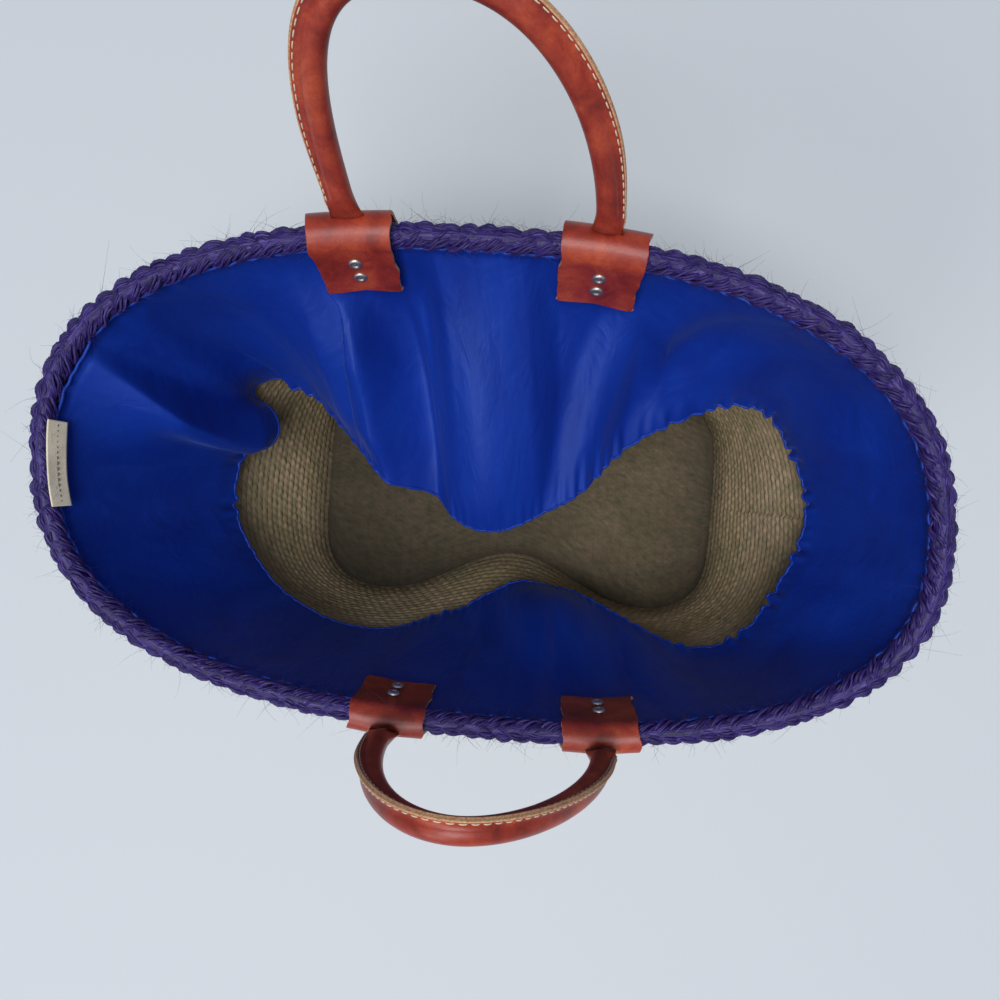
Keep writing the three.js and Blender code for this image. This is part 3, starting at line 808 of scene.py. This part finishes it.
def hem_line(turn):
    reach = oval_reach(turn, HEM_HALF_LENGTH, HEM_HALF_DEPTH, HEM_SQUARENESS)
    along = reach * np.cos(turn)
    x = HEM_OFFSET_X + along
    front_bell = bell(x - HEM_FRONT_PINCH_X, HEM_FRONT_PINCH_WIDTH)
    back_bell = bell(x - HEM_BACK_PINCH_X, HEM_BACK_PINCH_WIDTH)
    pinch = np.where(np.sin(turn) > 0, HEM_BACK_PINCH * back_bell, HEM_FRONT_PINCH * front_bell)
    y = HEM_OFFSET_Y + reach * np.sin(turn) * (1 - pinch) + HEM_SKEW * along
    z = HEM_HEIGHT + HEM_RISE * np.sin(turn) + HEM_SLOPE * np.cos(turn)
    z = z - HEM_FRONT_DIP * front_bell * smoothstep(-np.sin(turn), 0, 0.3)
    hem = np.stack([x, y, z], -1)
    for middle, width, shift in HEM_SHIFTS:
        hem = hem + bell(turn_from(middle, turn), width)[..., None] * np.array(shift)
    return hem


def turn_from(start, turn):
    return np.angle(np.exp(1j * (turn - start)))


def pressed(turn):
    """1 where a tab presses the lining to the wall, 0 away from it"""
    x = rim_line(turn)[..., 0]
    total = np.zeros_like(x)
    for leg in LEGS.values():
        away = np.abs(x - leg.x) - TAB_WIDTH / 2
        same_side = np.sign(np.sin(turn)) == leg.side
        total += same_side * (1 - smoothstep(away, TAB_PRESS_MARGIN, TAB_WIDTH / 2))
    return total


def lining_middle(turn, share):
    start = rim_line(turn)[..., 2] - RIM_EDGE_DROP
    hem = hem_line(turn)
    height = start + (hem[..., 2] - start) * share
    held = pressed(turn) * TAB_LEAF / (start - hem[..., 2])
    free = np.clip((share - held) / (1 - held), 0, 1) ** LINING_SAG
    seat = wall_point(turn, hem[..., 2], np.full_like(share, -LINING_INSET))
    pull = hem - seat
    pull[..., 2] = 0
    ridge = sum(bell(turn_from(place, turn), width) for place, width in FOLDS)
    swell = FOLD_DEPTH * ridge * np.sin(pi * free)
    inset = LINING_INSET - RIM_EDGE_TUCK * np.exp(-25 * share)
    point = wall_point(turn, np.minimum(height, wall_top(turn)), -inset - swell)
    point[..., 2] = height
    room = np.linalg.norm(pull, axis=-1) * free + swell + LINING_INSET - WALL_THICKNESS
    return point + pull * free[..., None], free, room


def rim_waves(turn, waves):
    return sum(height * np.cos(count * turn + phase) for count, height, phase in waves)


def crease_height(turn, share):
    """Height of all creases at a place of the cloth, towards the inside of the bag"""
    total = np.zeros_like(turn)
    for first, top, last, before, after, height in CREASES:
        along = np.clip((share - top) / (1 - top), 0, 1)
        away = turn_from((last - first) * along, turn - first) * CREASE_RADIUS
        width = np.where(away < 0, before, after) * (0.55 + 0.45 * along)
        grown = smoothstep(share, top, top + 0.55) * (1 - 0.25 * smoothstep(share, 0.85, 1))
        total += height * grown * bell(away, width)
    return total


def lining_points(turn, share):
    middle, free, room = lining_middle(turn, share)
    step = 0.004
    across = lining_middle(turn + step, share)[0] - lining_middle(turn - step, share)[0]
    down = np.gradient(middle, axis=1)
    normal = unit(np.cross(down, across))
    puckers = rim_waves(turn, RIM_PUCKERS) * np.exp(-share * 16) * (1 - pressed(turn))
    folds = rim_waves(turn + 0.08 * share, CLOTH_FOLDS) * smoothstep(free, 0.02, 0.5)
    frill = 0.35 + sum(bell(turn_from(middle, turn), width) for middle, width in FRILLS)
    gathers = rim_waves(turn, HEM_RUFFLES) * smoothstep(share, 0.88, 1) * 1.3 * frill
    height = puckers + folds + gathers + crease_height(turn, share)
    # The cloth stays clear of the wall behind it
    height = np.where(height < 0, -room * np.tanh(-height / room), height)
    return middle - normal * height[..., None], normal


def make_lining(name, start, end):
    turns, width = even_turns(rim_line, LINING_COLUMNS, start, end)
    shares = np.linspace(0, 1, LINING_ROWS)
    turn, share = spread(turns, shares)
    points, normal = lining_points(turn, share)
    place = turns * width / pi
    grids = Grids().add(points, u=place, v=shares * CUT_DEPTH)
    edge = points[:, 0] - normal[:, 0] * 0.6
    casing = points[:, -1]
    gathered = CASING_RADIUS * (1 + 0.28 * rim_waves(turns * 1.3, HEM_RUFFLES))
    grids.add_tube(edge, EDGE_RADIUS, 8, place, 0.6)
    grids.add_tube(casing, gathered, 10, place, 0.7)
    return grids.build(name, [SATIN])


def make_linings():
    for node, start, end in (("lining_front_panel", -pi, 0), ("lining_back_panel", 0, pi)):
        panel = make_lining(node.replace("_panel", "_satin"), start, end)
        thicken(panel, CLOTH_THICKNESS, rim=False)
        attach(panel, "bag")
        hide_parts(node)
        declare_cloth(panel)


def declare_cloth(panel):
    """Fetches the panel's evaluated copy, and does nothing more with it"""
    evaluated = panel.evaluated_get(bpy.context.evaluated_depsgraph_get())


def thicken(piece, thickness, offset=0.0, rim_slot=0, rim=True):
    solidify = piece.modifiers.new("Thickness", "SOLIDIFY")
    solidify.thickness = thickness * MM
    solidify.offset = offset
    solidify.material_offset_rim = rim_slot
    solidify.use_quality_normals = True
    solidify.use_rim = rim


# Leather tabs

TAB_ROWS = 120
TAB_COLUMNS = 61
NOTCH_DEPTH = 3.4
NOTCH_TRIM = 1.1
NOTCH_REACH = 26
SLOT_HALF_WIDTH = 10.0
SLOT_HALF_HEIGHT = 3.6
SLOT_ANGLE = radians(43)
SLOT_REACH = 2.6
SLOT_BULGE = 1.4


def tab_path(lean):
    """Inner face of a tab: places across the rim, from the inner leaf's end to the outer one's"""
    inner_wrap = BRAID_RADIUS + CLEARANCE
    outer_wrap = BRAID_RADIUS + 2 * CLEARANCE + END_THICKNESS
    angles = np.linspace(pi - lean, -lean, 24)
    radius = inner_wrap + (outer_wrap - inner_wrap) * np.cos(angles / 2) ** 2
    wrap = np.stack([radius * np.cos(angles), radius * np.sin(angles)], -1)
    leaf = np.linspace(1, 0.06, 14) * TAB_LEAF
    return np.concatenate([
        along_wall(lean, -inner_wrap, leaf), wrap, along_wall(lean, outer_wrap, leaf[::-1])])


def make_tab(leg):
    path = tab_path(leg.lean)
    total = path_lengths(path)[-1]
    even = resample(path, TAB_ROWS)
    spots = np.linspace(0, total, TAB_ROWS)
    sides = np.linspace(-1, 1, TAB_COLUMNS)
    spot, side = spread(spots, sides)
    waves = random_waves((31, 19, 12), (0.5, 0.35, 0.2))
    edge = TAB_WIDTH / 2 + wave_sum(spot + 40 * np.sign(side), waves)
    x = leg.x + side * edge
    # The leaf's lower edge is cut as a shallow inverted V
    notch = NOTCH_DEPTH * (1 - np.abs(side)) - NOTCH_TRIM
    slide = notch * np.clip(1 - np.minimum(spot, total - spot) / NOTCH_REACH, 0, 1)
    place = np.clip(spot + np.where(spot < total / 2, slide, -slide), 0, total)
    # Rows and columns round the slot are drawn into an oval, and those inside it are cut out
    middle = np.interp(SLOT_ANGLE, wrap_angles(even)[::-1], spots[::-1])
    a, b = (x - leg.x) / SLOT_HALF_WIDTH, (place - middle) / SLOT_HALF_HEIGHT
    square = np.maximum(np.abs(a), np.abs(b))
    slot = square < 1
    pull = square / np.maximum(np.hypot(a, b), 1e-6)
    pull = 1 + (pull - 1) * (1 - smoothstep(square, 1, SLOT_REACH))
    x = leg.x + a * pull * SLOT_HALF_WIDTH
    place = middle + b * pull * SLOT_HALF_HEIGHT
    out, rise = (np.interp(place, spots, column) for column in even.T)
    bulge = 1 + SLOT_BULGE * bell(np.hypot(a * pull, b * pull), 1.7) / np.hypot(out, rise)
    near = np.linspace(leg.x - TAB_WIDTH, leg.x + TAB_WIDTH, 200)
    turn = np.interp(x, near, turn_at_x(leg.side, near))
    points = across_rim(turn, out * bulge, rise * bulge)
    tab = Grids().add(points, u=spots, v=sides * TAB_WIDTH / 2).build(
        f"leather_{leg.name}_tab", [LEATHER, RAW_EDGE])
    cut_points(tab, slot.ravel())
    thicken(tab, TAB_THICKNESS, offset=1.0, rim_slot=1)
    bevel = tab.modifiers.new("Edges", "BEVEL")
    bevel.width = 0.35 * MM
    bevel.segments = 2
    bevel.limit_method = "ANGLE"
    bevel.angle_limit = radians(50)
    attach(tab, "bag")
    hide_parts(f"tab_{leg.name}")


def wrap_angles(path):
    """Angle round the braid along a tab's path, falling from one leaf to the other"""
    return np.where(path[:, 1] > 0, np.arctan2(path[:, 1], path[:, 0]),
                    np.where(path[:, 0] < 0, pi, 0) - path[:, 1] * np.sign(path[:, 0]) * 1e-3)


def cut_points(piece, chosen):
    mesh = bmesh.new()
    mesh.from_mesh(piece.data)
    doomed = [vert for vert, out in zip(mesh.verts, chosen) if out]
    bmesh.ops.delete(mesh, geom=doomed, context="VERTS")
    mesh.to_mesh(piece.data)
    mesh.free()


# Handles

def arch_path(facts):
    """Middle line of an arch in its own plane, from the left pivot to the right one"""
    angles = np.linspace(0, pi, 1200)
    reach = oval_reach(angles, facts["spacing"] / 2, HANDLE_HEIGHT, facts["squareness"])
    rise = np.maximum(0, reach * np.sin(angles))
    slide = facts["slump"] * (rise / HANDLE_HEIGHT) ** SLUMP_CURVE
    return np.stack([slide - reach * np.cos(angles), np.zeros_like(angles), rise], -1)


def end_path(leg):
    """Flattened end, from under the outer leaf up to just below the pivot"""
    middle = BRAID_RADIUS + CLEARANCE + END_THICKNESS / 2
    places = [along_wall(leg.lean, middle, END_LENGTH), along_wall(leg.lean, middle, 8),
              np.array([middle, 2.0])]
    return np.array([across_rim(leg.turn, out, rise) for out, rise in places])


def handle_sections(name):
    """Centres and ways of a handle's sections, from the left end to the right end"""
    facts = HANDLES[name]
    left, right = LEGS[f"{name}_left"], LEGS[f"{name}_right"]
    spin = np.array(Matrix.Rotation(-facts["side"] * facts["lean"], 3, "X"))
    arch = arch_path(facts) @ spin.T + (left.pivot + right.pivot) / 2
    left_end, right_end = end_path(left), end_path(right)[::-1]
    before = path_lengths(left_end)[-1] + np.linalg.norm(left_end[-1] - arch[0])
    arch_length = path_lengths(arch)[-1]
    path = np.concatenate([left_end, arch, right_end])
    path = resample(path, int(path_lengths(path)[-1] / SECTION_PITCH))
    for _ in range(SMOOTHING_PASSES):
        path[1:-1] = (path[:-2] + 2 * path[1:-1] + path[2:]) / 4
    distance = path_lengths(path) - before
    tangent = unit(np.gradient(path, axis=0))
    inside_bag = spin @ np.array([0.0, -facts["side"], 0.0])
    share = np.clip(distance / arch_length, 0, 1)
    from_end = np.minimum(distance, arch_length - distance)
    into_bag = -outward(rim_line, np.array([left.turn, right.turn]))
    end_normal = np.where(share[:, None] < 0.5, into_bag[0], into_bag[1])
    risen = smoothstep(from_end, 0, NECK_LENGTH)[:, None]
    normal = inside_bag * risen + end_normal * (1 - risen)
    normal = unit(normal - tangent * (normal * tangent).sum(-1, keepdims=True))
    away = np.cross(normal, tangent) * facts["side"]
    return path, away, normal, share, from_end


SECTION_PITCH = 2.2
SMOOTHING_PASSES = 6
BODY_POINTS = 26
FIN_START = 10
TWIST_START = 26
FIN_FULL = 60


def fin_ways(name, away, normal, share, from_end):
    """Ways out along the fin and across it; the fin turns to the bag away from its tabs"""
    most = HANDLES[name]["twist"] * smoothstep(from_end, 0, TWIST_START)
    twist = (most * (0.55 + 0.45 * np.sin(pi * share) ** 2))[..., None]
    return away * np.cos(twist) + normal * np.sin(twist), normal * np.cos(twist) - away * np.sin(twist)


def fin_height(from_end):
    """Height of the fin, which is lower where the handle comes near its tabs"""
    near = 0.6 * smoothstep(from_end, 0, FIN_START)
    return FIN_HEIGHT * (near + 0.4 * smoothstep(from_end, FIN_START, FIN_FULL))


def section_shape(roundness, fin, thin):
    """Outline of a rolled section with its sewn fin: out along the fin, and across it"""
    half_width = NECK_WIDTH / 2 * (1 - roundness) + HANDLE_RADIUS * roundness
    half_height = (NECK_THICKNESS / 2 * (1 - roundness) + HANDLE_RADIUS * roundness) * thin
    fin_half = min(FIN_THICKNESS / 2, half_height * 0.9)
    start = asin(fin_half / half_height) * 1.25
    angles = np.linspace(start, tau - start, BODY_POINTS)
    body = np.stack([half_width * np.cos(angles), half_height * np.sin(angles)], -1)
    tip = half_width + fin
    root = half_width * 0.5 + tip * 0.5
    notch = 0.35 * min(1.0, fin)
    fin_top = [[root, fin_half * 1.02], [tip - 0.7, fin_half], [tip - 0.1, fin_half * 0.82],
               [tip, fin_half * 0.45], [tip - notch, 0.0]]
    top = np.array(fin_top[::-1])
    low = np.array(fin_top[:-1]) * [1, -1]
    return np.concatenate([top, body, low])


NECK_ROOT = 7
SECTION_GIRTH = 52


def make_handle(name):
    sections = handle_sections(name)
    path, from_end = sections[0], sections[-1]
    fin_way, across = fin_ways(name, *sections[1:])
    rings = []
    for i, distance in enumerate(from_end):
        roundness = smoothstep(distance, -NECK_ROOT, NECK_LENGTH)
        thin = 1 - (1 - END_THICKNESS / NECK_THICKNESS) * smoothstep(-distance, 4, 13)
        outline = section_shape(roundness, fin_height(distance) + 0.2, thin)
        rings.append(path[i] + outline[:, :1] * fin_way[i] + outline[:, 1:] * across[i])
    rings = np.array(rings)
    columns = rings.shape[1]
    raw = from_end[:-1] > NECK_LENGTH * 0.3
    on_fin = np.abs((np.arange(columns) + 3) % columns - 2.5) < 3
    u = path_lengths(path)
    v = np.append(path_lengths(rings[len(rings) // 2]), SECTION_GIRTH)
    grids = Grids().add(rings, (False, True), np.append(u, u[-1]), v, raw[:, None] & on_fin)
    piece = grids.build(f"handle_{name}_leather", [LEATHER, RAW_EDGE])
    close_ends(piece)
    bend_at_tabs(piece)
    ends = [f"handle_end_{name}_{hand}" for hand in ("left", "right")]
    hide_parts(f"handle_{name}_cover", *ends)
    make_stitches(name, sections)
    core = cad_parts[f"handle_{name}_core"]
    core.data.materials.clear()
    core.data.materials.append(ROPE)


def bend_at_tabs(piece):
    """Bakes the transform of a piece of the handle into its mesh"""
    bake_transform(piece)


def close_ends(piece):
    mesh = bmesh.new()
    mesh.from_mesh(piece.data)
    bmesh.ops.holes_fill(mesh, edges=[edge for edge in mesh.edges if edge.is_boundary], sides=0)
    bmesh.ops.recalc_face_normals(mesh, faces=mesh.faces)
    mesh.to_mesh(piece.data)
    mesh.free()


STITCH_PITCH = 4.6
STITCH_LENGTH = 3.3
STITCH_RADIUS = 0.38
STITCH_DIP = np.array([0.5, 0.05, 0.0, 0.05, 0.5])[:, None]


def make_stitches(name, sections):
    """Saddle stitches along both sides of the fin"""
    grids = Grids()
    path, away, normal, share, from_end = sections
    lengths = path_lengths(path)
    sewn = np.flatnonzero(from_end > NECK_LENGTH * 0.6)
    for place in np.arange(lengths[sewn[0]], lengths[sewn[-1]], STITCH_PITCH):
        spots = place + np.linspace(0, STITCH_LENGTH, len(STITCH_DIP))
        centre, out, side = (read_at(spots, lengths, rows) for rows in (path, away, normal))
        where = np.interp(spots, lengths, share)
        fade = np.interp(spots, lengths, from_end)
        fin_way, across = fin_ways(name, unit(out), unit(side), where, fade)
        height = HANDLE_RADIUS + 0.62 * fin_height(fade)
        for face in (1, -1):
            beside = across * face * (FIN_THICKNESS / 2 + 0.12 - STITCH_DIP)
            line = centre + fin_way * height[:, None] + beside
            grids.add_tube(line, STITCH_RADIUS, 6, spots, 0.4, up=across[2])
    stitches = grids.build(f"handle_{name}_stitches", [CREAM_THREAD])
    bend_at_tabs(stitches)


# Rivets

RIVET_SIDES = 32


def rivet_outline():
    """Tubular rivet head: flat rolled ring round a sunk middle, as radius and height"""
    r, h = RIVET_RADIUS, RIVET_HEIGHT
    return [(0.0, h * 0.62), (r * 0.22, h * 0.6), (r * 0.34, h * 0.42), (r * 0.42, h * 0.45),
            (r * 0.5, h * 0.86), (r * 0.64, h), (r * 0.8, h * 0.92), (r * 0.93, h * 0.55),
            (r, h * 0.1), (r * 0.98, -0.3)]


def make_rivet(leg, row):
    seat, beyond = (across_rim(leg.turn, *along_wall(leg.lean, out, float(RIVET_DEPTHS[row])))
                    for out in (0.0, 1.0))
    axis = unit(beyond - seat)
    side = unit(np.cross(axis, UP))
    rise = np.cross(side, axis)
    angles = (np.arange(RIVET_SIDES) * tau / RIVET_SIDES)[:, None]
    spokes = side * np.cos(angles) + rise * np.sin(angles)
    inner = BRAID_RADIUS + CLEARANCE + TAB_THICKNESS
    grids = Grids()
    for way, reach in ((-1, inner), (1, inner + CLEARANCE + END_THICKNESS)):
        rings = [seat + axis * way * (reach + height) + spokes * max(radius, 0.01)
                 for radius, height in rivet_outline() + [(1.5, -0.3), (1.5, -reach)]]
        grids.add(np.array(rings), (False, True), flip=way > 0)
    rivet = grids.build(f"rivet_{leg.name}_{row}_metal", [METAL])
    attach(rivet, "bag")
    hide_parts(f"rivet_{leg.name}_{('upper', 'lower')[row]}")


# Label

LABEL_STEPS = 60
SEAM_PITCH = 3.4
SEAM_STITCH = 2.1


def label_place(share):
    """Out and rise of the label on the braid's shoulder; share 0 is its upper edge"""
    drop = sqrt(LABEL_HEIGHT ** 2 - LABEL_SLANT ** 2)
    return LABEL_OUT + LABEL_SLANT * (1 - share), LABEL_TOP - drop * share


def make_label():
    half_turn = LABEL_LENGTH / 2 / (MOUTH_HALF_LENGTH - BRAID_RADIUS)
    turns = np.linspace(pi - half_turn, pi + half_turn, LABEL_STEPS)
    shares = np.linspace(0, 1, 16)
    turn, share = spread(turns, shares)
    span = np.linspace(0, LABEL_LENGTH, LABEL_STEPS)[:, None]
    ripple = 0.35 * np.sin(span / 7.0) * np.sin(share * pi * 0.8)
    out, rise = label_place(share)
    points = across_rim(turn, out - ripple, rise)
    label = Grids().add(points, u=span[:, 0], v=shares * LABEL_HEIGHT).build("side_label_tape", [TAPE])
    thicken(label, LABEL_THICKNESS)
    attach(label, "bag")
    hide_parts("side_label")
    grids = Grids()
    for place in np.arange(2, LABEL_LENGTH - 3, SEAM_PITCH):
        spots = place + np.linspace(0, SEAM_STITCH, 4)
        where = turns[0] + (turns[-1] - turns[0]) * spots / LABEL_LENGTH
        out, rise = label_place(np.full(4, LABEL_SEAM))
        out = out - LABEL_THICKNESS / 2 - np.array([-0.4, 0.2, 0.2, -0.4])
        grids.add_tube(across_rim(where, out, rise), 0.3, 6, None, 1)
    stitches = grids.build("side_label_stitches", [DARK_THREAD])
    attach(stitches, "bag")


# Stage, light and camera

FLOOR_REACH = 6000
FLOOR_GAP = 0.6


def make_stage():
    paint = new_material("pale_floor", 0.7, Base_Color=(0.575, 0.615, 0.66, 1))
    ends = (-FLOOR_REACH, FLOOR_REACH)
    corners = np.array([[[x, y, 0] for y in ends] for x in ends])
    floor = Grids().add(corners, flip=True).build("floor", [paint])
    floor.location.z = -FLOOR_GAP * MM


def add_area(name, place, target, size, watts, colour=(1, 1, 1)):
    data = bpy.data.lights.new(name, "AREA")
    data.energy = watts
    data.size = size
    data.color = colour
    lamp = add_object(name, data)
    lamp.location = place
    lamp.rotation_euler = (Vector(target) - Vector(place)).to_track_quat("-Z", "Y").to_euler()


def make_light():
    world = bpy.data.worlds.new("soft_room")
    bpy.context.scene.world = world
    world.use_nodes = True
    sky = world.node_tree.nodes["Background"].inputs
    sky["Color"].default_value = (0.83, 0.89, 1, 1)
    sky["Strength"].default_value = 0.28
    add_area("window", (-2.2, -3.9, 3.6), (0, 0, 0.2), 2.2, 70, (1, 0.98, 0.95))
    add_area("ceiling", (-0.2, -0.8, 4.6), (0, 0, 0.2), 2.4, 164)


CAMERA_PLACE = (21.6, 10.5, 710.8)
CAMERA_PITCH = radians(-1.5)
CAMERA_YAW = radians(3.06)
CAMERA_ROLL = radians(4.4)
FOCAL_PIXELS = 780
PHOTO_WIDTH = 1000


def make_camera():
    data = bpy.data.cameras.new("camera")
    data.sensor_width = 36
    data.lens = data.sensor_width * FOCAL_PIXELS / PHOTO_WIDTH
    data.clip_start = 0.01
    camera = add_object("camera", data)
    turn = Matrix.Rotation(CAMERA_PITCH, 4, "X") @ Matrix.Rotation(CAMERA_YAW, 4, "Y")
    turn = turn @ Matrix.Rotation(CAMERA_ROLL, 4, "Z")
    camera.matrix_world = Matrix.Translation(Vector(CAMERA_PLACE) * MM) @ turn
    bpy.context.scene.camera = camera


make_camera()
make_stage()
make_light()
bpy.context.scene.view_settings.view_transform = "Standard"

make_wall()
make_base()
make_braid()
make_hairs()
make_linings()
for each_leg in LEGS.values():
    make_tab(each_leg)
    for each_row in range(len(RIVET_DEPTHS)):
        make_rivet(each_leg, each_row)
for each_handle in HANDLES:
    make_handle(each_handle)
make_label()
